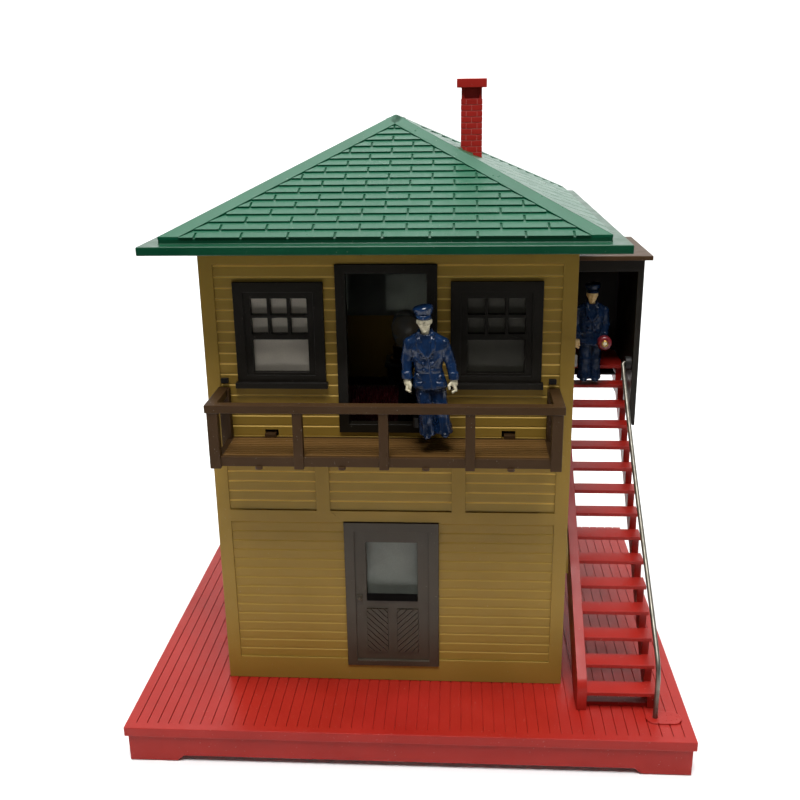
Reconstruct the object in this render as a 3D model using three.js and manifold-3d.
// Two-storey model railway signal tower with a hipped roof, a balcony, a covered porch and
// an open stair. A push solenoid on an inner deck swings one figure through the balcony
// doorway and slides a second figure down the stair. Millimetres, +Z up; the balcony side
// faces -Y and the stair is on the +X side. Everything is drawn about the centre of the base's
// underside, then moved so that the origin is under the middle of the whole outline.
import * as THREE from "three";
import { mergeVertices } from "three/addons/utils/BufferGeometryUtils.js";
import Module from "manifold-3d";

const wasm = await Module();
wasm.setup();

// ---- driving dimensions ---------------------------------------------------------------
const GAP = 0.1; // between pieces that rest on each other
const BASE = { w: 178, d: 150, h: 12.6, lip: 3.2, plate: 2.6, inset: 0.9, wall: 2.4 };
const ARCH = { foot: 15.2, h: 1.9, run: 2.3 }; // shallow cut-outs under each side of the base
const CX = -5.5; // centre line of the tower on the base

const TOWER = { x0: CX - 55.9, x1: CX + 55.9, y0: -46.3, y1: 62, top: 159.3, wall: 2.4 };
const TRIM = 0.8; // how far corner boards and belts stand proud of the clapboard panels
const CORNER = 4.3; // corner board width
const PANEL_Z = { low: 20.7, beltLow: 70.8, beltTop: 74.9, floor: 96.5, upper: 100.2, head: 154 };
const PILASTER = { at: 21.5, w: 4.4 };

const WINDOW = { w: 27.1, h: 30.9, pane: 5, bar: 1, glassZ: 3, lower: 10.3, rail: 1.8, rowH: 4.9 };
const WINDOW_Z = 117.8;
const WINDOW_AT = 32.5; // front windows, each side of the centre line
const REAR_WINDOW_H = 35.4;
const FLANGE = 1.3; // thickness of a window or door casing in front of the wall
const UPPER_DOOR = { w: 30.2, h: 52.2, z: 101.7, openW: 24, openH: 46.8, sill: 2.7 };
const LOWER_DOOR = { w: 30.4, h: 52.5, z: 18.5, glassW: 16.7, glassH: 21, glassZ: 24.4 };

const ROOF = { x0: -73.7, x1: 62.7, y0: -63.8, y1: 81.7, z: 159.4, fascia: 2.5, ledge: 5, edge: 1.5 };
const APEX_Z = 194;
const ROOF_SKIN = 2.2;
const CHIMNEY = { x: 19.6, y: 3.3 };

const BALCONY = { x: -5.8, half: 52.05, front: -64.8, floor: 100, rail: 116.2, railH: 2.4, railD: 3.2 };
const POST = 2.8;
const POST_PITCH = 25.1;

const STAIR = { y0: -59.8, z0: 19.05, run: 6.79, rise: 5.79, steps: 14, tread: 6.35, thick: 1.25 };
const STAIR_X = { string0: 54, string1: 57.1, tread1: 79.3, carriage0: 76.6, carriage1: 78.9 };
const STAIR_BACK = 59;
const PORCH = { y0: 20, y1: 62, x0: 50.5, inner: 79.7, outer: 81.9, z0: 81, lintel: 139.3, top: 143.5 };
const RAIL_R = 0.75;

const DECK = { top: 88, thick: 1.6 };
const COIL = { x0: -27, x1: -3, y: -14, z: 99, r: 8, flange: 8.6, bore: 4.1 };
const STROKE = 11.4; // plunger travel
const SHAFT = { x: 18.6, y: -33, r: 1.5, top: 109.4 }; // upright shaft of the balcony figure
const MAN_SWING = 65; // degrees
const CRANK_R = STROKE / 2 / Math.sin(THREE.MathUtils.degToRad(MAN_SWING / 2));
const ARM_Z = 106.4;
const MAN = { x: 7.6, y: -57.4, z: 104.9, h: 39.5 };
const GUARD = { x: 65, y: 28, z: 96.3, h: 37.8 };

const SLOPE = Math.atan2(STAIR.rise, STAIR.run);
const TRAVEL = 5 * Math.hypot(STAIR.rise, STAIR.run); // the stair figure walks down five treads
const PIN = { y: 31, z: 102.6 }; // carrier pin at rest
const LEVER_HALF = THREE.MathUtils.degToRad(25);
const LEVER_REACH = TRAVEL / 2 / Math.tan(LEVER_HALF);
const LEVER = {
  y: PIN.y - (TRAVEL / 2) * Math.cos(SLOPE) + LEVER_REACH * Math.sin(SLOPE),
  z: PIN.z - (TRAVEL / 2) * Math.sin(SLOPE) - LEVER_REACH * Math.cos(SLOPE),
  x0: 42.2,
  x1: 43.7,
};
const LEVER_INPUT = STROKE / 2 / Math.tan(LEVER_HALF);

// ---- materials -------------------------------------------------------------------------
const paint = (color, roughness, metalness = 0) =>
  new THREE.MeshStandardMaterial({ color, roughness, metalness });
const RED = paint(0x8e1f1c, 0.4);
const BRICK = paint(0xb4312f, 0.5);
const TAN = paint(0xa38a45, 0.5);
const GREEN = paint(0x0d5a3c, 0.35);
const BROWN = paint(0x33261f, 0.45);
const BLUE = paint(0x152c58, 0.3);
const MAROON = paint(0x5e1418, 0.35);
const GLAZING = paint(0x9aa0a4, 0.6);
const STEEL = paint(0x9a9a96, 0.35, 0.9);
const BRASS = paint(0xb28a3c, 0.3, 0.9);
const NYLON = paint(0x2a2320, 0.6);
const WIRE = paint(0x7a1a20, 0.35, 0.3);
const GLASS = paint(0xf2ead8, 0.1);

// ---- solids ----------------------------------------------------------------------------
// A closed three.js geometry as a manifold solid.
function solid(geometry) {
  const bare = geometry.clone();
  bare.deleteAttribute("normal");
  bare.deleteAttribute("uv");
  const merged = mergeVertices(bare, 1e-4);
  return new wasm.Manifold(
    new wasm.Mesh({
      numProp: 3,
      vertProperties: merged.attributes.position.array,
      triVerts: new Uint32Array(merged.index.array),
    }),
  );
}

const join = (...parts) => parts.reduce((a, b) => a.add(b));
const cut = (body, ...tools) => tools.reduce((a, b) => a.subtract(b), body);

// A box between two corners.
function box(x0, x1, y0, y1, z0, z1) {
  const g = new THREE.BoxGeometry(x1 - x0, y1 - y0, z1 - z0);
  g.translate((x0 + x1) / 2, (y0 + y1) / 2, (z0 + z1) / 2);
  return solid(g);
}

// A round bar along an axis, between two places on it, centred on the other two coordinates.
function bar(axis, r, from, to, a, b, sides = 24, r2 = r) {
  const g = new THREE.CylinderGeometry(r2, r, to - from, sides);
  g.translate(0, (from + to) / 2, 0);
  if (axis === "x") g.rotateZ(-Math.PI / 2).translate(0, a, b);
  if (axis === "y") g.translate(a, 0, b);
  if (axis === "z") g.rotateX(Math.PI / 2).translate(a, b, 0);
  return solid(g);
}

// A flat outline of [u, v] points pushed along an axis: x takes (y, z), y takes (x, z), z takes (x, y).
function prism(axis, outline, from, to) {
  const shape = new THREE.Shape(outline.map(([u, v]) => new THREE.Vector2(u, v)));
  const g = new THREE.ExtrudeGeometry(shape, { depth: to - from, bevelEnabled: false });
  g.translate(0, 0, from);
  if (axis === "x") g.rotateY(Math.PI / 2).rotateX(Math.PI / 2);
  if (axis === "y") g.scale(1, 1, -1).rotateX(Math.PI / 2);
  if (axis === "y") g.index || flip(g);
  return solid(g);
}

// Turns every triangle of an unindexed geometry round.
function flip(g) {
  const p = g.attributes.position;
  for (let i = 0; i < p.count; i += 3)
    for (const get of ["X", "Y", "Z"]) {
      const first = p["get" + get](i);
      p["set" + get](i, p["get" + get](i + 1));
      p["set" + get](i + 1, first);
    }
}

// A flat strip with round ends along a line of [x, y] points, lying between two heights.
function strip(points, width, z0, z1) {
  const rounds = points.map(([x, y]) => bar("z", width / 2, z0, z1, x, y, 20));
  const runs = points.slice(1).map(([x, y], i) => {
    const [px, py] = points[i];
    const g = new THREE.BoxGeometry(Math.hypot(x - px, y - py), width, z1 - z0);
    g.rotateZ(Math.atan2(y - py, x - px));
    g.translate((x + px) / 2, (y + py) / 2, (z0 + z1) / 2);
    return solid(g);
  });
  return join(...rounds, ...runs);
}

// A rounded limb: a ball at each end and a tapered bar between them.
function limb(from, to, r0, r1, sides = 9) {
  const a = new THREE.Vector3(...from);
  const b = new THREE.Vector3(...to);
  const g = new THREE.CylinderGeometry(r1, r0, a.distanceTo(b), sides);
  const up = new THREE.Vector3(0, 1, 0);
  g.applyQuaternion(new THREE.Quaternion().setFromUnitVectors(up, b.clone().sub(a).normalize()));
  g.translate((a.x + b.x) / 2, (a.y + b.y) / 2, (a.z + b.z) / 2);
  return join(solid(g), ball(from, r0, sides), ball(to, r1, sides));
}

function ball([x, y, z], r, sides = 9, sx = 1, sy = 1, sz = 1) {
  const g = new THREE.SphereGeometry(r, sides, Math.max(6, sides / 2));
  return solid(g.scale(sx, sy, sz).translate(x, y, z));
}

// The named mesh of a solid, placed in its parent group.
function mesh(name, body, material, position = [0, 0, 0], rotation = [0, 0, 0]) {
  const { vertProperties, triVerts } = body.getMesh();
  const g = new THREE.BufferGeometry();
  g.setAttribute("position", new THREE.BufferAttribute(new Float32Array(vertProperties), 3));
  g.setIndex(new THREE.BufferAttribute(new Uint32Array(triVerts), 1));
  const m = new THREE.Mesh(g, material);
  m.name = name;
  m.position.set(...position);
  m.rotation.set(...rotation);
  return m;
}

// ---- base --------------------------------------------------------------------------------
const BOSSES = [-1, 1].flatMap((i) => [-1, 1].map((j) => [i * 78, j * 64]));
const TERMINALS = [-60, -48, -36];
const TERMINAL_Y = 68.4;

function basePlatform() {
  const { w, d, h, lip, plate, inset, wall } = BASE;
  const x = w / 2;
  const y = d / 2;
  const top = box(-x, x, -y, y, h - lip, h);
  const skirt = box(inset - x, x - inset, inset - y, y - inset, 0, h - lip);
  const deep = inset + wall;
  const hollow = box(deep - x, x - deep, deep - y, y - deep, -1, h - plate);
  const arch = (half) => [
    [-half, -1],
    [-half, 0],
    [ARCH.run - half, ARCH.h],
    [half - ARCH.run, ARCH.h],
    [half, 0],
    [half, -1],
  ];
  const arches = [
    prism("y", arch(x - inset - ARCH.foot), -y - 1, y + 1),
    prism("x", arch(y - inset - ARCH.foot), -x - 1, x + 1),
  ];
  const bosses = BOSSES.map(([bx, by]) => bar("z", 3, 3.4, h - plate + 0.2, bx, by));
  const pad = strip([[78.2, -63.7], [83.4, -63.7]], 6.2, h - 0.2, h + 0.6);
  const holes = BOSSES.map(([bx, by]) => bar("z", 1.35, 3, 9.4, bx, by));
  const studs = TERMINALS.map((tx) => bar("z", 1.6, 0, h + 1, tx, TERMINAL_Y));
  const well = box(CX - 40, CX + 40, -30, 46, 0, h + 1);
  const rodHole = bar("z", RAIL_R + 0.1, h - 1, h + 1, 78.2, -63.5, 16);
  return cut(join(cut(join(top, skirt), hollow), ...bosses, pad), ...arches, ...holes, ...studs, well, rodHole);
}

function bottomPlate() {
  const plate = box(-85.2, 85.2, -71.2, 71.2, 2.3, 3.3);
  const holes = BOSSES.map(([x, y]) => bar("z", 1.6, 2, 4, x, y));
  const wires = bar("z", 4, 2, 4, 0, 66);
  const access = TERMINALS.map((x) => bar("z", 4, 2, 4, x, TERMINAL_Y - 1.5));
  return cut(plate, ...holes, wires, ...access);
}

// A cross-slot pan-head screw standing on its head, its shank upwards.
function screw(shankR, headR, headH, length) {
  const head = bar("z", headR * 0.8, 0, headH, 0, 0, 24, headR);
  const slot = box(-headR * 0.7, headR * 0.7, -0.3, 0.3, -1, 0.5);
  return join(cut(head, slot), bar("z", shankR, headH - 0.1, headH + length, 0, 0, 16));
}

function terminalPost() {
  const head = bar("z", 2.8, 7.6, 9.9, 0, 0, 6);
  return join(head, bar("z", 1.35, 9.7, 23, 0, 0, 20));
}

// A knurled thumb nut that turns on a terminal post.
function thumbNut() {
  const ridges = 18;
  const outline = Array.from({ length: ridges * 2 }, (_, i) => {
    const r = i % 2 ? 3.1 : 3.5;
    const a = (i * Math.PI) / ridges;
    return [r * Math.cos(a), r * Math.sin(a)];
  });
  const knurl = prism("z", outline, 1.4, 4.4);
  return cut(join(bar("z", 2.6, 0, 1.6, 0, 0), knurl), bar("z", 1.42, -1, 6, 0, 0, 20));
}

// ---- tower -------------------------------------------------------------------------------
// The sunken clapboard panels of one wall, as cutting boxes on a wall that faces -Y, with
// the wall's outer face at y = 0. "half" is half the wall's width between its outer corners.
function panelCuts(half, pilasters) {
  const inner = half - CORNER;
  const p = PANEL_Z;
  const edges = [-inner, ...pilasters.flatMap((x) => [x - PILASTER.w / 2, x + PILASTER.w / 2]), inner];
  const middles = [];
  for (let i = 0; i < edges.length; i += 2)
    middles.push(box(edges[i], edges[i + 1], -1, TRIM, p.beltTop, p.floor));
  return join(
    box(-inner, inner, -1, TRIM, p.low, p.beltLow),
    ...middles,
    box(-inner, inner, -1, TRIM, p.upper, p.head),
  );
}

// A wall's cutting tools turned to face outwards on side 0 front, 1 right, 2 rear, 3 left.
function onSide(tool, side) {
  const { x0, x1, y0, y1 } = TOWER;
  const mx = (x0 + x1) / 2;
  const my = (y0 + y1) / 2;
  const place = [
    [mx, y0],
    [x1, my],
    [mx, y1],
    [x0, my],
  ][side];
  return tool.rotate([0, 0, side * 90]).translate([place[0], place[1], 0]);
}

// Hole through a wall for a casing's inner sleeve.
const wallHole = (x, w, z0, z1) => box(x - w / 2, x + w / 2, -1, TOWER.wall + 1, z0, z1);
const SLEEVE = 1.4; // how far a casing's sleeve is set in from its flange
const windowHole = (x, h = WINDOW.h, z = WINDOW_Z) =>
  wallHole(x, WINDOW.w - 2 * SLEEVE + 0.3, z + SLEEVE - 0.15, z + h - SLEEVE + 0.15);

const SIDE_WINDOWS = [-26, 26];
const REAR_WINDOWS = [-WINDOW_AT, 0, WINDOW_AT];
const REAR_WINDOW_Z = WINDOW_Z + WINDOW.h - REAR_WINDOW_H;

function towerBody() {
  const { x0, x1, y0, y1, top, wall } = TOWER;
  const z0 = BASE.h + GAP;
  const halfX = (x1 - x0) / 2;
  const halfY = (y1 - y0) / 2;
  const shell = cut(box(x0, x1, y0, y1, z0, top), box(x0 + wall, x1 - wall, y0 + wall, y1 - wall, 0, 200));
  const post = 4.2;
  const deckLow = DECK.top - DECK.thick;
  const posts = [];
  for (const px of [x0 + wall - 0.2, x1 - wall + 0.2 - post])
    for (const py of [y0 + wall - 0.2, y1 - wall + 0.2 - post])
      posts.push(box(px, px + post, py, py + post, z0, deckLow - GAP));
  const boss = bar("x", 3.2, LEVER.x1 + 0.5, x1 - 1, LEVER.y, LEVER.z);
  const ledgeTop = (y) => PIN.z - 3.2 + (y - PIN.y) * Math.tan(SLOPE);
  const ledge = prism(
    "x",
    [
      [-28, ledgeTop(-28) - 5],
      [33, ledgeTop(33) - 9],
      [33, ledgeTop(33)],
      [-25, ledgeTop(-25)],
    ],
    x1 - TRIM - 0.4,
    x1 + 3.2,
  );
  const door = LOWER_DOOR;
  const doorRecess = box(-door.w / 2 - 0.15, door.w / 2 + 0.15, -1, TRIM, door.z - 0.15, door.z + door.h + 0.15);
  const front = join(
    windowHole(-WINDOW_AT),
    windowHole(WINDOW_AT),
    wallHole(-0.2, UPPER_DOOR.w - 2 * SLEEVE + 0.3, UPPER_DOOR.z + SLEEVE - 0.15, UPPER_DOOR.z + UPPER_DOOR.h - 1.2),
    wallHole(0, LOWER_DOOR.w - 2 * SLEEVE + 0.3, LOWER_DOOR.z + SLEEVE - 0.15, LOWER_DOOR.z + LOWER_DOOR.h - 1.2),
    doorRecess,
    wallHole(-36.7, 4.2, BALCONY.floor - 0.3, BALCONY.floor + 2.2),
    wallHole(36.7, 4.2, BALCONY.floor - 0.3, BALCONY.floor + 2.2),
  );
  const rear = join(...REAR_WINDOWS.map((x) => windowHole(x, REAR_WINDOW_H, REAR_WINDOW_Z)));
  const left = join(...SIDE_WINDOWS.map((x) => windowHole(x)));
  const porchDoor = wallHole(39, 19, BALCONY.floor + 0.5, 136);
  const away = TRAVEL + 2.6;
  const slot = new THREE.BoxGeometry(20, away + 2.6, 3.2);
  slot.translate(0, (2.6 - away) / 2, 0).rotateX(SLOPE).translate(x1, PIN.y, PIN.z);
  const walls = cut(
    join(shell, ...posts, boss),
    onSide(join(panelCuts(halfX, [-PILASTER.at, PILASTER.at]), front), 0),
    onSide(join(panelCuts(halfY, [-18, 18]), porchDoor), 1),
    onSide(join(panelCuts(halfX, [-PILASTER.at, PILASTER.at]), rear), 2),
    onSide(join(panelCuts(halfY, [-18, 18]), left), 3),
  );
  return cut(
    join(walls, ledge),
    solid(slot),
    bar("x", 1.2, LEVER.x1, x1 - 1.4, LEVER.y, LEVER.z, 16),
    ...deckScrewPlaces().map(([x, y]) => bar("z", 1.05, 78, 90, x, y, 16)),
  );
}

// A double-hung window casing facing -Y: its flange is in front of y = 0 and its sleeve behind.
function windowFrame(h = WINDOW.h) {
  const { w, pane, bar: muntin, glassZ, lower, rail, rowH } = WINDOW;
  const half = w / 2;
  const tall = h - WINDOW.h;
  const flange = box(-half, half, -FLANGE, -GAP / 2, 0, h);
  const sill = box(-half - 0.6, half + 0.6, -FLANGE - 1.2, -GAP / 2, -1.7, 0.1);
  const sleeve = box(SLEEVE - half, half - SLEEVE, -0.1, 1.5, SLEEVE, h - SLEEVE);
  const step = box(3 - half, half - 3, -FLANGE - 1, -FLANGE + 0.6, 2.2, h - 3);
  const glassHalf = 1.5 * pane + muntin;
  const openings = [box(-glassHalf, glassHalf, -3, 3, glassZ, glassZ + lower + tall)];
  for (let row = 0; row < 2; row++)
    for (let column = 0; column < 3; column++) {
      const x = -glassHalf + column * (pane + muntin);
      const z = glassZ + lower + tall + rail + row * (rowH + muntin);
      openings.push(box(x, x + pane, -3, 3, z, z + rowH));
    }
  return cut(join(flange, sleeve, sill), step, ...openings);
}

const glazing = (w, h) => box(-w / 2, w / 2, 0, 0.5, 0, h);

function upperDoorFrame() {
  const { w, h, openW, openH, sill } = UPPER_DOOR;
  const flange = box(-w / 2, w / 2, -FLANGE, -GAP / 2, 0, h);
  const sleeve = box(SLEEVE - w / 2, w / 2 - SLEEVE, -0.1, 2.2, SLEEVE, h - 1.35);
  return cut(join(flange, sleeve), box(-openW / 2, openW / 2, -5, 5, sill, sill + openH));
}

// The ground-floor door: casing and leaf in one moulding, with a glazed upper light.
function lowerDoor() {
  const { w, h, glassW, glassH, glassZ } = LOWER_DOOR;
  const flange = box(-w / 2, w / 2, -FLANGE, -GAP / 2, 0, h);
  const sleeve = box(SLEEVE - w / 2, w / 2 - SLEEVE, -0.1, 2.2, SLEEVE, h - 1.35);
  const step = box(3.2 - w / 2, w / 2 - 3.2, -FLANGE - 1, -FLANGE + 0.7, 2, h - 3.2);
  const light = box(-glassW / 2, glassW / 2, -5, 5, glassZ, glassZ + glassH);
  const panel = (x) => box(x - 3.45, x + 3.45, -FLANGE, -FLANGE + 1.2, 5.2, 21.4);
  const plate = box(-11.6, -9.7, -FLANGE + 0.3, -FLANGE + 0.8, 23.2, 26.4);
  const knob = ball([-10.6, -FLANGE - 0.1, 25.4], 0.75, 10);
  return join(cut(join(flange, sleeve), step, light, panel(-5), panel(5)), plate, knob);
}

// ---- roof --------------------------------------------------------------------------------
// A four-sided pyramid cut off flat: base rectangle at z0 and apex above its centre.
function pyramid(x0, x1, y0, y1, z0, apex) {
  const g = new THREE.ConeGeometry(Math.SQRT1_2, 1, 4);
  g.rotateY(Math.PI / 4).rotateX(Math.PI / 2).translate(0, 0, 0.5);
  g.scale(x1 - x0, y1 - y0, apex - z0).translate((x0 + x1) / 2, (y0 + y1) / 2, z0);
  return solid(g);
}

function roofShell() {
  const { x0, x1, y0, y1, z, fascia, ledge, edge } = ROOF;
  const zl = z + fascia;
  const [sx0, sx1, sy0, sy1] = [x0 + ledge, x1 - ledge, y0 + ledge, y1 - ledge];
  const outer = join(
    box(x0, x1, y0, y1, z, zl),
    box(sx0, sx1, sy0, sy1, zl - 0.1, zl + edge),
    pyramid(sx0, sx1, sy0, sy1, zl + edge, APEX_Z),
  );
  const t = ROOF_SKIN;
  const inner = join(
    box(x0 + 2, x1 - 2, y0 + 2, y1 - 2, z - 1, zl - 1.1),
    pyramid(sx0 + t, sx1 - t, sy0 + t, sy1 - t, zl - 1.2, APEX_Z - t - 0.6),
  );
  const in0 = TOWER.wall + 0.35;
  const [rx0, rx1, ry0, ry1] = [TOWER.x0 + in0, TOWER.x1 - in0, TOWER.y0 + in0, TOWER.y1 - in0];
  const ring = cut(
    join(box(rx0, rx1, ry0, ry1, z - 2.6, z + 8), box(TOWER.x0, TOWER.x1, TOWER.y0, TOWER.y1, z, z + 8)),
    box(rx0 + 1.6, rx1 - 1.6, ry0 + 1.6, ry1 - 1.6, 0, 220),
  );
  const rib = (x) => box(x - 0.8, x + 0.8, ry0 + 1, ry1 - 1, z + 6, z + 34);
  const inside = join(ring, rib(CX - 22), rib(CX + 8)).intersect(
    join(outer, box(rx0, rx1, ry0, ry1, z - 4, z + 1)),
  );
  return cut(join(cut(outer, inner), inside), bar("z", 1.7, 170, 200, CHIMNEY.x, CHIMNEY.y, 16));
}

function chimney() {
  const half = 3.3;
  const [cx, cy] = [CHIMNEY.x, CHIMNEY.y];
  const fall = (APEX_Z - ROOF.z - ROOF.fascia - ROOF.edge) / ((ROOF.x1 - ROOF.x0) / 2 - ROOF.ledge);
  const surface = (x) => APEX_Z - (x - CX) * fall + GAP;
  const [x0, x1] = [cx - half, cx + half];
  const shaft = prism("y", [[x0, surface(x0)], [x1, surface(x1)], [x1, 202.7], [x0, 202.7]], cy - half, cy + half);
  const peg = bar("z", 1.6, 176.6, 186, cx, cy, 16);
  const cap = box(cx - 4.8, cx + 4.8, cy - 4.8, cy + 4.8, 202.6, 205.4);
  const flue = box(cx - 2.2, cx + 2.2, cy - 2.2, cy + 2.2, 200, 210);
  const recess = (w, d) => box(cx - w, cx + w, cy - d, cy + d, 199.2, 202.6);
  const core = recess(half - 0.8, half - 0.8);
  const ends = half - 1;
  const vents = [cut(recess(ends, half + 1), core), cut(recess(half + 1, ends), core)];
  return cut(join(shaft, cap, peg), flue, ...vents);
}

// ---- balcony, stair and porch --------------------------------------------------------------
function balcony() {
  const { half, front, floor, rail, railH, railD } = BALCONY;
  const back = TOWER.y0 - GAP;
  const inner = half - railD;
  const slab = box(-half + 2, half - 2, front + 1, back, floor - 3, floor);
  const frontRail = box(-half, half, front, front + railD, rail - railH, rail);
  const pieces = [slab, frontRail];
  for (const s of [-1, 1]) {
    const [a, b] = s < 0 ? [-half, -inner] : [inner, half];
    pieces.push(box(a, b, front + 0.5, back, rail - railH, rail));
    const [pa, pb] = s < 0 ? [-half + 0.5, -half + 3.7] : [half - 3.7, half - 0.5];
    pieces.push(box(pa, pb, front + 0.3, front + 3.1, floor - 3.6, rail - 0.2));
    pieces.push(box(pa, pb, back - 2.6, back, floor - 3, rail - 0.2));
    const tab = s * 37 + (TOWER.x0 + TOWER.x1) / 2 - BALCONY.x;
    pieces.push(box(tab - 1.7, tab + 1.7, back - 1, back + 3.2, floor - 0.1, floor + 1.2));
  }
  for (const k of [-1, 0, 1])
    pieces.push(
      box(k * POST_PITCH - POST / 2, k * POST_PITCH + POST / 2, front + 0.3, front + 3.1, floor - 3.6, rail - 0.2),
    );
  return join(...pieces);
}

function stairs() {
  const { y0, z0, run, rise, steps, tread, thick } = STAIR;
  const { string0, string1, tread1, carriage0, carriage1 } = STAIR_X;
  const foot = BASE.h + GAP;
  const top = BALCONY.floor + 0.1;
  const yTop = y0 + steps * run;
  const nosing = (y) => z0 + ((y - y0) * rise) / run;
  const underside = [
    [STAIR_BACK, top - 0.3],
    [STAIR_BACK, top - 4.5],
    [yTop + 3, nosing(yTop + 3) - 11],
    [y0 + 9, foot],
  ];
  const proud = 3.3;
  const string = [
    [y0 - 0.5, foot],
    [y0 - 0.5, z0 + 0.6],
    [y0 + 1.2, nosing(y0 + 1.2) + proud],
    [yTop - 1.5, nosing(yTop - 1.5) + proud],
    [STAIR_BACK, nosing(yTop - 1.5) + proud],
  ];
  const saw = [[y0 + 1.5, foot]];
  for (let i = 0; i <= steps; i++) {
    const z = z0 + i * rise - thick + 0.2;
    saw.push([y0 + i * run + 1.5, z], [i < steps ? y0 + (i + 1) * run + 1.5 : STAIR_BACK - 0.5, z]);
  }
  const pieces = [
    prism("x", [...string, ...underside], string0, string1),
    prism("x", [...saw, ...underside], carriage0, carriage1),
    box(string1 - 0.2, tread1, yTop, STAIR_BACK, top - thick, top),
    box(string1 - 0.2, carriage0 + 0.2, y0 + 2.4, y0 + 5, foot, foot + 1.2),
  ];
  for (let i = 0; i < steps; i++) {
    const y = y0 + i * run;
    const z = z0 + i * rise;
    pieces.push(box(string1 - 0.2, tread1, y, y + tread, z - thick, z));
  }
  return join(...pieces);
}

// Bent steel rod: a post in the base's pad, a run up the stair and a turned-in top end.
const RAIL_END = { y: 22.6, z: 104.7 };
const RAIL_PATH = [
  [78.2, -63.5, BASE.h - 0.9],
  [78.2, -63.5, 29.6],
  [76.5, 19.8, 102.3],
  [76.4, RAIL_END.y, RAIL_END.z],
  [77.6, RAIL_END.y, RAIL_END.z],
  [79, RAIL_END.y, RAIL_END.z],
];
function handrail() {
  const p = RAIL_PATH.map((v) => new THREE.Vector3(...v));
  const path = new THREE.CurvePath();
  const blend = (a, b, t) => a.clone().lerp(b, t);
  const bendIn = blend(p[1], p[0], 0.16);
  const bendOut = blend(p[1], p[2], 0.026);
  path.add(new THREE.LineCurve3(p[0], bendIn));
  path.add(new THREE.QuadraticBezierCurve3(bendIn, p[1], bendOut));
  path.add(new THREE.LineCurve3(bendOut, p[2]));
  path.add(new THREE.QuadraticBezierCurve3(p[2], p[3], p[4]));
  path.add(new THREE.LineCurve3(p[4], p[5]));
  const ring = new THREE.Shape().absarc(0, 0, RAIL_R, 0, 2 * Math.PI);
  return solid(new THREE.ExtrudeGeometry(ring, { steps: 60, curveSegments: 5, bevelEnabled: false, extrudePath: path }));
}

function handrailBush() {
  const { y, z } = RAIL_END;
  return cut(bar("x", 2.5, 77.3, PORCH.inner - GAP, y, z), bar("x", RAIL_R + 0.15, 76, 79.2, y, z), bar("x", 1.9, 76, 78.2, y - 0.5, z));
}

function porchWalls() {
  const { y0, y1, x0, inner, outer, z0, lintel, top } = PORCH;
  const side = cut(
    box(inner, outer, y0, y1, z0, top),
    prism("y", [[inner - 1, z0 - 1], [outer - 0.4, z0 - 1], [inner, z0 + 2.4], [inner - 1, z0 + 2.4]], y0 - 1, y1 + 1),
  );
  const rear = box(x0, inner + 0.2, y1 - 2, y1, BALCONY.floor + 0.4, top);
  const head = box(x0, inner + 0.2, y0, y0 + 2, lintel, top);
  return join(side, rear, head);
}

const porchRoof = () => box(PORCH.x0, 84.3, 17.5, 64, PORCH.top + GAP, PORCH.top + 1.8);

// ---- figures -------------------------------------------------------------------------------
// A standing figure in a long jacket, trousers and a peaked cap, facing -Y, feet at z = 0.
// "spread" is how far each hand stands out from the centre line.
function figure(h, spread) {
  const k = h / 40;
  const at = (x, y, z) => [x * k, y * k, z * k];
  const parts = [];
  for (const s of [-1, 1]) {
    parts.push(limb(at(s * 2, 0.3, 2), at(s * 1.9, 0.3, 18), 2.1 * k, 2.4 * k));
    parts.push(ball(at(s * 2.1, -0.9, 1.1), 1.1 * k, 10, 1.3, 2.3, 1));
    parts.push(limb(at(s * 4.6, 0.4, 29.6), at(s * (spread - 1.4), -0.4, 20.6), 1.9 * k, 1.6 * k));
    parts.push(limb(at(s * (spread - 1.4), -0.6, 20.4), at(s * (spread - 1.2), -1, 16.4), 1.3 * k, 1.1 * k));
  }
  const coat = new THREE.LatheGeometry(
    [[0, 15], [5, 15], [4.3, 20], [4.1, 24], [5.2, 29], [4, 31.4], [1.6, 32.6], [0, 32.6]].map(
      ([r, z]) => new THREE.Vector2(r * k, z * k),
    ),
    16,
  );
  coat.rotateX(Math.PI / 2).scale(1, 0.68, 1);
  parts.push(solid(coat), ball(at(0, 0, 34.6), 2.55 * k, 12, 0.92, 1, 1.2));
  const cap = bar("z", 2.6 * k, 36 * k, 40 * k, 0, 0, 16, 3 * k);
  parts.push(cap, box(-1.9 * k, 1.9 * k, -4 * k, -1 * k, 36.1 * k, 36.8 * k));
  return join(...parts);
}

function lantern() {
  const drum = bar("y", 2.5, -1.7, 1.7, 0, 0, 20);
  const lens = bar("y", 0.9, -2.1, -1.6, 0, 0, 16);
  const chimneyCap = bar("z", 1.2, 2.1, 3.2, 0, 0, 12);
  return join(drum, lens, chimneyCap);
}

// ---- mechanism -----------------------------------------------------------------------------
function deckScrewPlaces() {
  const inX = TOWER.wall + 2.2;
  const xs = [TOWER.x0 + inX, TOWER.x1 - inX];
  const ys = [TOWER.y0 + inX, TOWER.y1 - inX];
  return xs.flatMap((x) => ys.map((y) => [x, y]));
}

function mechanismDeck() {
  const { x0, x1, y0, y1, wall } = TOWER;
  const m = wall + 0.25;
  const low = DECK.top - DECK.thick;
  const plate = box(x0 + m, x1 - m, y0 + m, y1 - m, low, DECK.top);
  const leverBay = box(37.2, x1, -17, 53.4, 0, 100);
  const holes = deckScrewPlaces().map(([x, y]) => bar("z", 1.3, 80, 90, x, y, 16));
  const bearing = bar("z", 2.6, 80, 90, SHAFT.x, SHAFT.y);
  const wires = box(-45, -30, 10, 20, 80, 90);
  return cut(plate, leverBay, ...holes, bearing, wires);
}

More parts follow.
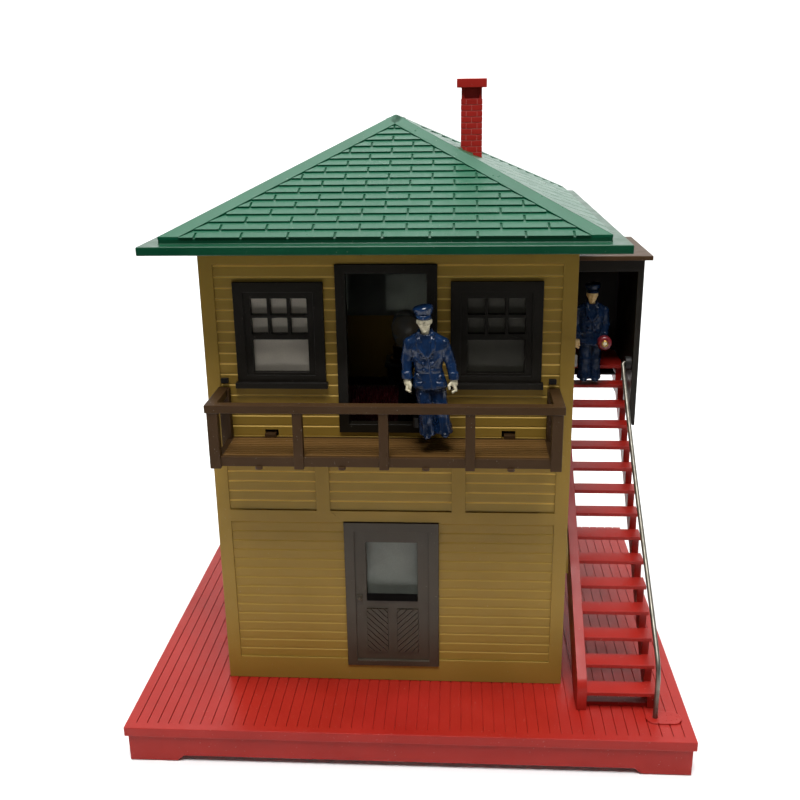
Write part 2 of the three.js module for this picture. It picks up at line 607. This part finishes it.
const shaftBush = () =>
  cut(
    join(bar("z", 2.5, 84.4, 88.2, SHAFT.x, SHAFT.y), bar("z", 3.6, 88.1, 89.2, SHAFT.x, SHAFT.y)),
    bar("z", SHAFT.r + 0.08, 80, 92, SHAFT.x, SHAFT.y),
  );

function solenoidFrame() {
  const { x0, x1, y } = COIL;
  const plate = (a, b) => box(a, b, y - 9.5, y + 9.5, DECK.top + 0.3, 109.5);
  const floor = box(x0 - 2, x1 + 2, y - 9.5, y + 9.5, DECK.top + 0.1, DECK.top + 1.9);
  return cut(
    join(plate(x0 - 2, x0 - 0.2), plate(x1 + 0.2, x1 + 2), floor),
    bar("x", 4.3, x0 - 3, x0 + 1, y, COIL.z),
    bar("x", 1.6, x1 - 1, x1 + 3, y, COIL.z, 16),
  );
}

function bobbin() {
  const { x0, x1, y, z, flange, bore } = COIL;
  return cut(
    join(
      bar("x", flange, x0, x0 + 1.2, y, z, 28),
      bar("x", flange, x1 - 1.2, x1, y, z, 28),
      bar("x", 5, x0 + 1, x1 - 1, y, z, 28),
    ),
    bar("x", bore, x0 - 1, x1 + 1, y, z, 28),
  );
}

function winding() {
  const { x0, x1, y, z, r } = COIL;
  return cut(bar("x", r, x0 + 1.3, x1 - 1.3, y, z, 32), bar("x", 5.1, x0, x1, y, z, 28));
}

const PLUNGER_X = [-47.4, -14.8];
function plunger() {
  const [from, to] = PLUNGER_X;
  const body = bar("x", 3.8, from, to, COIL.y, COIL.z, 28);
  return join(body, bar("x", 6.4, from - 0.1, from + 1.9, COIL.y, COIL.z, 28));
}

const pushRod = () => bar("x", 1.2, PLUNGER_X[1] + 0.1, 5.9, COIL.y, COIL.z, 16);

// A compression spring as a swept round wire.
function returnSpring() {
  const [from, to] = [PLUNGER_X[0] + 2.3, COIL.x0 - 2.5];
  const turns = 5;
  const points = Array.from({ length: turns * 16 + 1 }, (_, i) => {
    const a = (i / 16) * 2 * Math.PI;
    const x = from + ((to - from) * i) / (turns * 16);
    return new THREE.Vector3(x, COIL.y + 5.1 * Math.cos(a), COIL.z + 5.1 * Math.sin(a));
  });
  const ring = new THREE.Shape().absarc(0, 0, 0.35, 0, 2 * Math.PI);
  const extrudePath = new THREE.CatmullRomCurve3(points);
  return solid(new THREE.ExtrudeGeometry(ring, { steps: turns * 14, curveSegments: 4, bevelEnabled: false, extrudePath }));
}

// The upright shaft's crank pin and the transfer bar's pin where they sit at rest.
const HALF_SWING = THREE.MathUtils.degToRad(MAN_SWING / 2);
const CRANK_PIN = [SHAFT.x - CRANK_R * Math.sin(HALF_SWING), SHAFT.y + CRANK_R * Math.cos(HALF_SWING)];
const CAM_PIN = [30, 8];

function driveYoke() {
  const [z0, z1] = [DECK.top + 0.4, DECK.top + 1.6];
  const [px, py] = CRANK_PIN;
  const [cx, cy] = CAM_PIN;
  const camEnd = [cx - STROKE, cy - STROKE];
  const crankY = py + (CRANK_R * (1 - Math.cos(HALF_SWING))) / 2;
  const plate = join(
    box(5.9, 21.6, -18, -3.4, z0, z1),
    box(px - 3.6, px + 3.6, crankY - 4.6, -12, z0, z1),
    strip([[cx, cy], camEnd], 6.6, z0, z1),
  );
  const lug = box(6, 9, COIL.y - 3, COIL.y + 3, z1 - 0.1, COIL.z + 3);
  return cut(
    join(plate, lug),
    strip([[px, crankY - 1.1], [px, crankY + 1.1]], 2.8, 80, 90),
    strip([[cx + 0.4, cy + 0.4], [camEnd[0] - 0.4, camEnd[1] - 0.4]], 2.8, 80, 90),
  );
}

function manShaft() {
  const { x, y, r, top } = SHAFT;
  const [z0, z1] = [DECK.top + 2.1, DECK.top + 3.4];
  const crank = strip([[x, y], CRANK_PIN], 4.2, z0, z1);
  const pin = bar("z", 1, DECK.top + 0.3, z0 + 0.2, CRANK_PIN[0], CRANK_PIN[1], 16);
  return join(bar("z", r, 83.6, top, x, y), bar("z", 2.6, z0 - 0.6, z1 + 1.6, x, y), crank, pin);
}

function manArm() {
  const path = [[SHAFT.x, SHAFT.y], [3.6, -41.4], [3.6, -53.9]];
  const hub = bar("z", 3, ARM_Z - 1, ARM_Z + 2.4, SHAFT.x, SHAFT.y);
  return cut(join(strip(path, 2.6, ARM_Z, ARM_Z + 3), hub), bar("z", SHAFT.r + 0.06, 100, 112, SHAFT.x, SHAFT.y));
}

// Slides along Y under the deck: its top pin rides in the yoke's slanting slot and its side
// pin swings the stair lever.
function transferBar() {
  const [x0, x1] = [38.6, 39.8];
  const [cx, cy] = CAM_PIN;
  const pinZ = LEVER.z + LEVER_INPUT;
  const pinY = LEVER.y + STROKE / 2;
  const [z0, z1] = [DECK.top + 2.2, DECK.top + 3.4];
  return join(
    box(x0, x1, cy - 3, pinY + 3, pinZ - 2.6, pinZ + 2.6),
    box(x0, x1, cy - 3, cy + 3, pinZ, z1),
    box(cx - 2.6, x1, cy - 3, cy + 3, z0, z1),
    bar("z", 1, DECK.top + 0.3, z0 + 0.2, cx, cy, 16),
    bar("x", 1, x1 - 0.2, LEVER.x1 + 0.4, pinY, pinZ, 16),
  );
}

// Bell lever on the right wall, drawn with its hub at the origin in the (y, z) plane. Its
// long fork holds the carrier pin and its short fork holds the transfer bar's pin.
function stairLever() {
  const { x0, x1 } = LEVER;
  const arm = (angle, reach, width, slotFrom, slotWidth) => {
    const blade = box(x0, x1, -width / 2, width / 2, 0, reach);
    const slot = box(x0 - 1, x1 + 1, -slotWidth / 2, slotWidth / 2, slotFrom, reach + 1);
    return cut(blade, slot).rotate([THREE.MathUtils.radToDeg(angle), 0, 0]);
  };
  const toPin = Math.atan2(LEVER.y - PIN.y, PIN.z - LEVER.z);
  const long = arm(toPin, LEVER_REACH + 8.4, 7.6, LEVER_REACH - 3, 4);
  const short = arm(-LEVER_HALF, LEVER_INPUT + 4.4, 6.6, LEVER_INPUT - 2.6, 3.2);
  const hub = bar("x", 5, x0, x1, 0, 0);
  return cut(join(hub, long, short), bar("x", 1.6, x0 - 1, x1 + 1, 0, 0)).translate([0, LEVER.y, LEVER.z]);
}

// Shouldered screw that holds the lever to the wall's boss, lying along X with its head inwards.
const leverScrew = () =>
  join(
    cut(bar("x", 3.1, LEVER.x0 - 1.9, LEVER.x0 - 0.3, LEVER.y, LEVER.z), box(40, 41, LEVER.y - 0.35, LEVER.y + 0.35, 40, 60)),
    bar("x", 1.5, LEVER.x0 - 0.4, LEVER.x1 + 0.4, LEVER.y, LEVER.z, 20),
    bar("x", 1.1, LEVER.x1 + 0.3, 47.6, LEVER.y, LEVER.z, 16),
  );

function figureCarrier() {
  const shoe = new THREE.BoxGeometry(13.6, 4.6, 2);
  shoe.translate(51.7, 0, 0).rotateX(SLOPE).translate(0, PIN.y, PIN.z);
  const pin = bar("x", 1, 41, 45, PIN.y, PIN.z, 16);
  const foot = box(58.3, 60.4, PIN.y - 4.4, PIN.y + 1.6, PIN.z - 0.6, PIN.z + 4);
  return join(solid(shoe), pin, foot);
}

function lampBracket() {
  const foot = box(-12, 4, 22, 36, DECK.top + 0.1, DECK.top + 1.3);
  const riser = box(-12, 4, 34.8, 36, DECK.top + 0.2, 104);
  const shelf = box(-12, 4, 22, 36, 102.8, 104);
  return cut(join(foot, riser, shelf), bar("z", 5.2, 100, 106, -4, 28));
}

const lampSocket = () =>
  cut(
    join(bar("z", 5, 96, 110, -4, 28, 28), bar("z", 6.4, 104.1, 105.1, -4, 28, 28)),
    bar("z", 4.3, 97.2, 112, -4, 28, 28),
  );

function lampBulb() {
  const outline = [[0, 98], [3, 98], [4, 99.4], [4, 110.4], [5.4, 114], [5.8, 117.4], [4.6, 121.2], [2.2, 123.3], [0, 123.8]];
  const g = new THREE.LatheGeometry(outline.map(([r, z]) => new THREE.Vector2(r, z)), 24);
  return solid(g.rotateX(Math.PI / 2)).translate([-4, 28, 0]);
}

// ---- assembly ------------------------------------------------------------------------------
const group = new THREE.Group();
const towerX = (TOWER.x0 + TOWER.x1) / 2;
const towerY = (TOWER.y0 + TOWER.y1) / 2;

const platform = new THREE.Group();
platform.add(mesh("base_platform", basePlatform(), RED));
platform.add(mesh("bottom_plate", bottomPlate(), STEEL));
BOSSES.forEach(([x, y], i) =>
  platform.add(mesh(`bottom_screw_${i + 1}`, screw(1.25, 2.7, 1.2, 6), STEEL, [x, y, 1])),
);
TERMINALS.forEach((x, i) => {
  platform.add(mesh(`terminal_post_${i + 1}`, terminalPost(), BRASS, [x, TERMINAL_Y, 0]));
  platform.add(mesh(`thumb_nut_${i + 1}`, thumbNut(), BRASS, [x, TERMINAL_Y, BASE.h + 0.5]));
});

const house = new THREE.Group();
house.add(mesh("tower_body", towerBody(), TAN));
// Casings are drawn facing -Y and turned to the wall they belong to.
const wallFace = [
  { at: (u) => [towerX + u, TOWER.y0 + TRIM], turn: 0 },
  { at: (u) => [TOWER.x1 - TRIM, towerY + u], turn: Math.PI / 2 },
  { at: (u) => [towerX - u, TOWER.y1 - TRIM], turn: Math.PI },
  { at: (u) => [TOWER.x0 + TRIM, towerY - u], turn: -Math.PI / 2 },
];
function addCasing(name, body, material, side, u, z, inwards = 0) {
  const { at, turn } = wallFace[side];
  const [x, y] = at(u);
  const m = mesh(name, body, material, [x, y, z], [0, 0, turn]);
  m.translateY(inwards);
  house.add(m);
}
const behind = TOWER.wall - TRIM + 0.1; // from a panel's face to just inside the wall
addCasing("window_front_left", windowFrame(), BROWN, 0, -WINDOW_AT, WINDOW_Z);
addCasing("window_front_right", windowFrame(), BROWN, 0, WINDOW_AT, WINDOW_Z);
addCasing("window_left_front", windowFrame(), BROWN, 3, SIDE_WINDOWS[1], WINDOW_Z);
addCasing("window_left_rear", windowFrame(), BROWN, 3, SIDE_WINDOWS[0], WINDOW_Z);
["right", "middle", "left"].forEach((place, i) =>
  addCasing(`window_rear_${place}`, windowFrame(REAR_WINDOW_H), BROWN, 2, REAR_WINDOWS[i], REAR_WINDOW_Z),
);
addCasing("upper_door_frame", upperDoorFrame(), BROWN, 0, -0.2, UPPER_DOOR.z);
addCasing("lower_door", lowerDoor(), BROWN, 0, 0, LOWER_DOOR.z);
const paneW = WINDOW.w - 1;
addCasing("glazing_front_left", glazing(paneW, 29), GLAZING, 0, -WINDOW_AT, WINDOW_Z + 1, behind);
addCasing("glazing_front_right", glazing(paneW, 29), GLAZING, 0, WINDOW_AT, WINDOW_Z + 1, behind);
addCasing("glazing_left", glazing(SIDE_WINDOWS[1] * 2 + paneW, 29), GLAZING, 3, 0, WINDOW_Z + 1, behind);
addCasing("glazing_rear", glazing(WINDOW_AT * 2 + paneW, 33), GLAZING, 2, 0, REAR_WINDOW_Z + 1, behind);
addCasing("glazing_door", glazing(24, 25), GLAZING, 0, 0, LOWER_DOOR.z + 22.4, behind + 0.7);
house.add(mesh("balcony", balcony(), BROWN, [BALCONY.x, 0, 0]));
house.add(mesh("porch_walls", porchWalls(), BROWN));
house.add(mesh("porch_roof", porchRoof(), BROWN));
house.add(mesh("stairs", stairs(), RED));
house.add(mesh("handrail", handrail(), STEEL));
house.add(mesh("handrail_bush", handrailBush(), NYLON));

const cover = new THREE.Group();
cover.add(mesh("roof", roofShell(), GREEN));
cover.add(mesh("chimney", chimney(), BRICK));

const works = new THREE.Group();
works.add(mesh("mechanism_deck", mechanismDeck(), STEEL));
deckScrewPlaces().forEach(([x, y], i) =>
  works.add(mesh(`deck_screw_${i + 1}`, screw(1, 2.1, 1, 7), STEEL, [x, y, DECK.top + 1.1], [Math.PI, 0, 0])),
);
works.add(mesh("shaft_bush", shaftBush(), BRASS));
works.add(mesh("solenoid_frame", solenoidFrame(), STEEL));
works.add(mesh("solenoid_bobbin", bobbin(), NYLON));
works.add(mesh("solenoid_winding", winding(), WIRE));
works.add(mesh("plunger", plunger(), STEEL));
works.add(mesh("push_rod", pushRod(), BRASS));
works.add(mesh("return_spring", returnSpring(), STEEL));
works.add(mesh("drive_yoke", driveYoke(), STEEL));
works.add(mesh("man_shaft", manShaft(), STEEL));
works.add(mesh("man_arm", manArm(), STEEL));
works.add(mesh("transfer_bar", transferBar(), STEEL));
works.add(mesh("stair_lever", stairLever(), STEEL));
works.add(mesh("lever_screw", leverScrew(), STEEL));
works.add(mesh("lamp_bracket", lampBracket(), STEEL));
works.add(mesh("lamp_socket", lampSocket(), BRASS));
works.add(mesh("lamp_bulb", lampBulb(), GLASS));

const crew = new THREE.Group();
crew.add(mesh("tower_man", figure(MAN.h, 7.9), BLUE, [MAN.x, MAN.y, MAN.z]));
crew.add(mesh("lantern_man", figure(GUARD.h, 5.6), BLUE, [GUARD.x, GUARD.y, GUARD.z]));
crew.add(mesh("hand_lantern", lantern(), MAROON, [GUARD.x + 4.5, GUARD.y - 4.9, GUARD.z + 16]));
crew.add(mesh("figure_carrier", figureCarrier(), STEEL));

group.add(platform, house, cover, works, crew);
// The roof reaches further back than the base reaches forward.
group.position.y = (BASE.d / 2 - ROOF.y1) / 2;
export default group;
